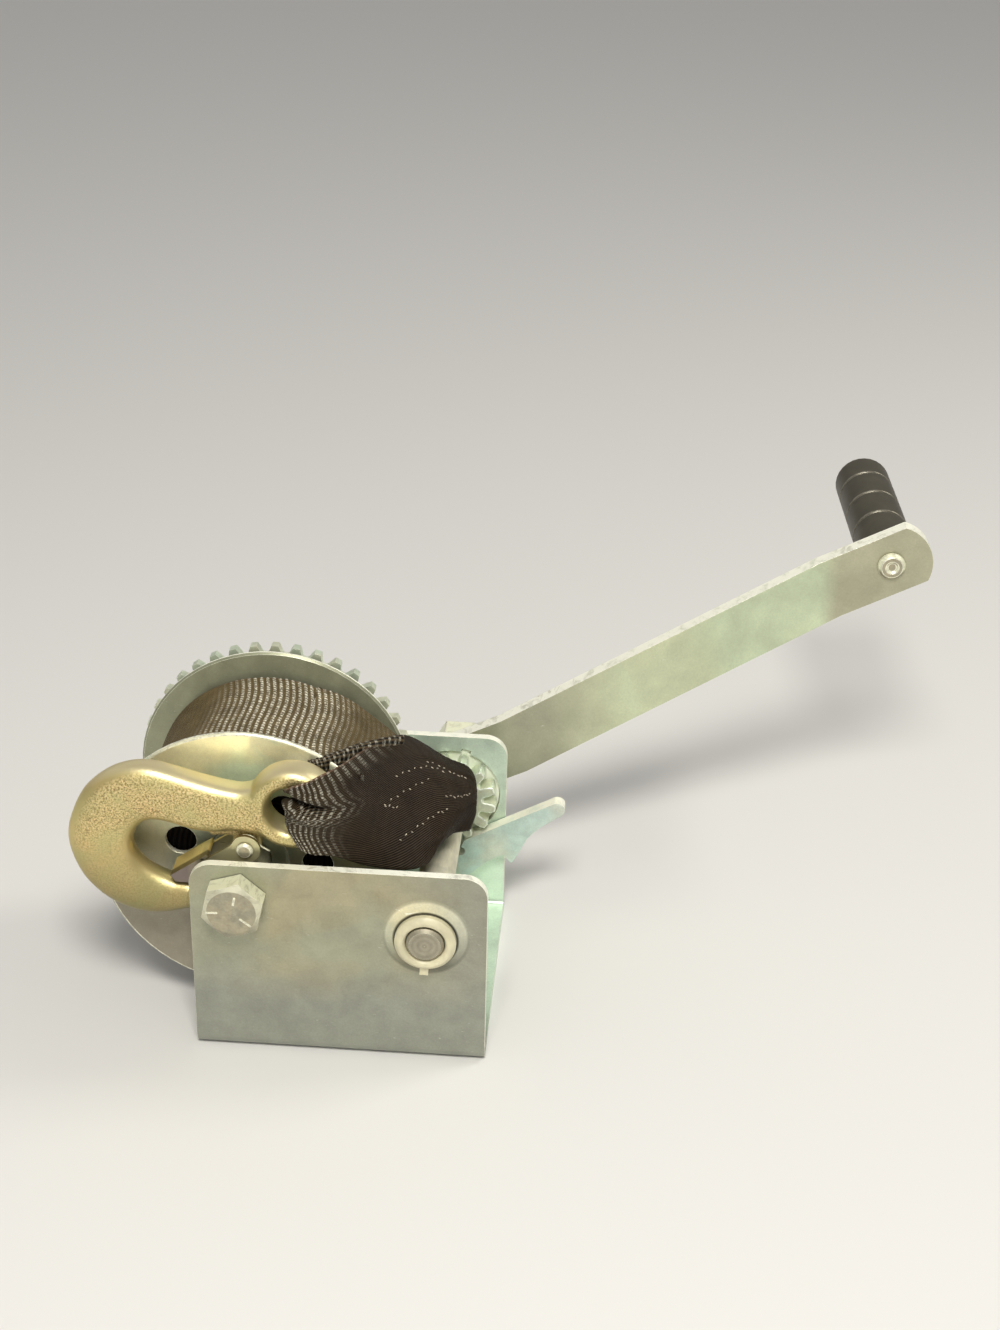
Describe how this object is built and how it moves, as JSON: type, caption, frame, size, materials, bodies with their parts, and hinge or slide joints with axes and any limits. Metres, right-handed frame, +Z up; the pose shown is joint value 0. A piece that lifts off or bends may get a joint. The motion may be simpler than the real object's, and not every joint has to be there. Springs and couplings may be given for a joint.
{
  "type": "come along winch",
  "caption": "Hand-cranked strap winch: a U-shaped frame with a geared drum of wound webbing, a cranked handle with a turning grip, a pawl, and a snap hook with a sprung latch on the strap.",
  "frame": {"origin": "middle of the frame's underside, on the surface that it is bolted to", "axes": "+Z up from that surface; +X along the frame from the drum's end to the crank's end; +Y across it, from the plate beside the hook to the plate beside the gear"},
  "size_m": [0.2971, 0.2354, 0.145],
  "materials": {
    "frame_zinc": "zinc-plated sheet steel, satin with pale mottling",
    "flange_zinc": "zinc-plated pressed steel, glossy",
    "gear_zinc": "zinc-plated steel",
    "arm_zinc": "zinc-plated steel bar, satin",
    "pawl_zinc": "zinc-plated steel, satin",
    "bolt_steel": "plated steel fasteners",
    "shaft_steel": "turned steel with a dull film of grease",
    "bush_nylon": "moulded bearing plastic, dull",
    "webbing": "black ribbed polyester webbing",
    "grip_plastic": "charcoal moulded plastic, matt",
    "hook_gold": "forged steel with pale yellow zinc plating, grainy",
    "latch_gold": "folded sheet steel with yellow zinc plating, bright"
  },
  "bodies": {
    "frame_body": {"frame": "frame_zinc", "near_bush": "bush_nylon", "far_bearing": "bush_nylon", "drum_bolt": "bolt_steel", "drum_lock_nut": "bolt_steel", "drum_sleeve": "shaft_steel", "pawl_pin": "bolt_steel", "strap_lead": "webbing", "strap_tail": "webbing"},
    "drum": {"drum_hub": "flange_zinc", "near_flange": "flange_zinc", "far_flange": "flange_zinc", "drum_gear": "gear_zinc", "gear_rivet_1": "gear_zinc", "gear_rivet_2": "gear_zinc", "gear_rivet_3": "gear_zinc", "gear_rivet_4": "gear_zinc", "strap_anchor_bolt": "bolt_steel", "strap_anchor_nut": "bolt_steel", "strap_core": "webbing", "strap_outer_turn": "webbing"},
    "crank": {"pinion_shaft": "shaft_steel", "pinion": "gear_zinc", "crank_spacer": "shaft_steel", "crank_washer": "bolt_steel", "crank_nut": "bolt_steel", "crank_arm": "arm_zinc", "grip_pin": "bolt_steel"},
    "handle_grip": {"grip": "grip_plastic"},
    "pawl_lever": {"pawl": "pawl_zinc"},
    "snap_hook": {"hook": "hook_gold", "latch_rivet": "bolt_steel", "latch_spring": "bolt_steel"},
    "latch": {"hook_latch": "latch_gold"}
  },
  "joints": [
    {"name": "drum_spin", "type": "hinge", "parent": "frame_body", "child": "drum", "pos_m": [-0.0345, 0, 0.062], "axis": [0, 1, 0], "continuous": true},
    {"name": "crank_spin", "type": "hinge", "parent": "frame_body", "child": "crank", "pos_m": [0.02963, 0, 0.0514], "axis": [0, 1, 0], "continuous": true},
    {"name": "grip_spin", "type": "hinge", "parent": "crank", "child": "handle_grip", "pos_m": [0.18858, 0.0954, 0.12996], "axis": [-0.0532, 0.9982, -0.0263], "continuous": true},
    {"name": "pawl_pivot", "type": "hinge", "parent": "frame_body", "child": "pawl_lever", "pos_m": [0.044, 0.0417, 0.0298], "axis": [0, -1, 0], "range_deg": [0, 12]},
    {"name": "hook_swing", "type": "hinge", "parent": "frame_body", "child": "snap_hook", "pos_m": [-0.016, -0.035, 0.093], "axis": [0, 1, 0], "range_deg": [0, 60]},
    {"name": "latch_pivot", "type": "hinge", "parent": "snap_hook", "child": "latch", "pos_m": [-0.032, -0.035, 0.0774], "axis": [0, 1, 0], "range_deg": [0, 25], "stiffness_Nm_per_rad": 0.02, "springref_deg": -28.65}
  ],
  "couplings": [
    {"joint": "crank_spin", "follows": "drum_spin", "ratio": -3.0769}
  ]
}
